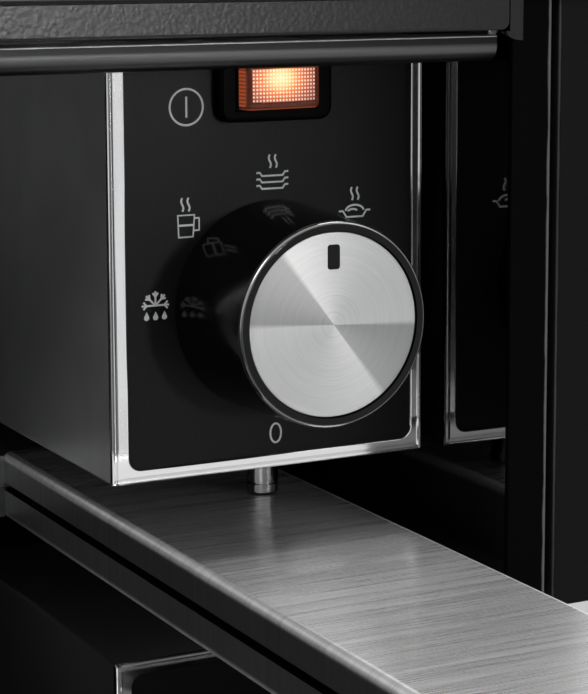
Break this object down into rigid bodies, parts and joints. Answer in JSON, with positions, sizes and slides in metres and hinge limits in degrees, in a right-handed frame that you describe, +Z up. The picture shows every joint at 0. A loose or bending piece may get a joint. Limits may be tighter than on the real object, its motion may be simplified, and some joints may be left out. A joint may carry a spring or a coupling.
{
  "type": "warming drawer",
  "caption": "Low steel warming drawer on feet, drawn open: glass-based tray on telescopic rails, and a control box with a lit rocker and a rotary knob inside.",
  "frame": {"origin": "middle of the whole part's box, at the bottom of the feet, with the drawer drawn open", "axes": "+Y into the housing, from the drawer's handle to the back panel; +X to the right seen from the front; +Z up"},
  "size_m": [0.5986, 1.0314, 0.157],
  "materials": {
    "satin_steel": "satin",
    "mirror_steel": "polished",
    "brushed_deck": "brushed",
    "zinc_sheet": "satin",
    "case_paint": "fine texture",
    "grained_trim": "grained",
    "panel_charcoal": "satin",
    "black_gloss": "gloss",
    "black_matt": "matt",
    "amber_lens": "gloss",
    "lamp_glass": "gloss",
    "disc_aluminium": "turned",
    "black_glass": "gloss",
    "bright_steel": "polished",
    "heater_sheath": "heat-stained",
    "contact_brass": "satin",
    "mineral_wool": "fibrous",
    "seal_silicone": "matt",
    "foot_rubber": "matt",
    "white_sleeve": "braided"
  },
  "bodies": {
    "housing": {"base_pan": "zinc_sheet", "right_side_panel": "case_paint", "left_side_panel": "case_paint", "top_cover": "case_paint", "back_panel": "zinc_sheet", "feet": "foot_rubber", "right_front_post": "satin_steel", "left_front_post": "satin_steel", "right_liner": "mirror_steel", "left_liner": "mirror_steel", "ceiling_liner": "zinc_sheet", "rear_liner": "satin_steel", "insulation_blankets": "mineral_wool", "front_cross_rail": "satin_steel", "top_fascia": "grained_trim", "fascia_end_tabs": "satin_steel", "control_box": "mirror_steel", "control_box_cover": "zinc_sheet", "control_box_spacer": "black_matt", "control_panel": "panel_charcoal", "glide_stud": "bright_steel", "selector_body": "black_matt", "rocker_housing": "black_gloss", "brass_contacts": "contact_brass", "duct_side_panel": "mirror_steel", "duct_floor": "satin_steel", "fan_baffle": "zinc_sheet", "fan_frame": "black_matt", "heater_element": "heater_sheath", "heater_bracket": "zinc_sheet", "thermal_cutout": "black_matt", "temperature_probe": "bright_steel", "wiring_sleeve": "white_sleeve", "mains_inlet": "black_matt", "right_cabinet_rail": "zinc_sheet", "left_cabinet_rail": "zinc_sheet", "housing_screws": "bright_steel"},
    "drawer": {"drawer_pan": "zinc_sheet", "glass_base": "black_glass", "right_deck": "brushed_deck", "left_deck": "brushed_deck", "drawer_front_inner": "satin_steel", "drawer_front_skin": "satin_steel", "drawer_gasket": "seal_silicone", "handle_bar": "bright_steel", "handle_posts": "bright_steel", "right_drawer_rail": "zinc_sheet", "left_drawer_rail": "zinc_sheet", "slide_brackets": "zinc_sheet", "drawer_screws": "bright_steel"},
    "right_middle": {"right_middle_rail": "zinc_sheet"},
    "left_middle": {"left_middle_rail": "zinc_sheet"},
    "knob": {"selector_shaft": "bright_steel", "knob_body": "black_gloss", "knob_disc": "disc_aluminium", "knob_pointer": "black_gloss"},
    "rocker": {"rocker_lens": "amber_lens", "rocker_cradle": "black_matt", "rocker_lamp": "lamp_glass"},
    "fan": {"fan_impeller": "black_matt"}
  },
  "joints": [
    {"name": "drawer_slide", "type": "slide", "parent": "housing", "child": "drawer", "axis": [0, 1, 0], "range_m": [0, 0.395]},
    {"name": "right_middle_slide", "type": "slide", "parent": "housing", "child": "right_middle", "axis": [0, 1, 0], "range_m": [0, 0.1975]},
    {"name": "left_middle_slide", "type": "slide", "parent": "housing", "child": "left_middle", "axis": [0, 1, 0], "range_m": [0, 0.1975]},
    {"name": "knob_turn", "type": "hinge", "parent": "housing", "child": "knob", "pos_m": [0.22795, -0.0267, 0.082], "axis": [0, 1, 0], "range_deg": [-180, 45]},
    {"name": "rocker_tip", "type": "hinge", "parent": "housing", "child": "rocker", "pos_m": [0.22795, -0.02425, 0.1349], "axis": [0, 0, 1], "range_deg": [-10, 0]},
    {"name": "fan_spin", "type": "hinge", "parent": "housing", "child": "fan", "pos_m": [0.2291, 0.225, 0.094], "axis": [0, 1, 0], "continuous": true}
  ],
  "couplings": [
    {"joint": "right_middle_slide", "follows": "drawer_slide", "ratio": 0.5},
    {"joint": "left_middle_slide", "follows": "drawer_slide", "ratio": 0.5}
  ]
}
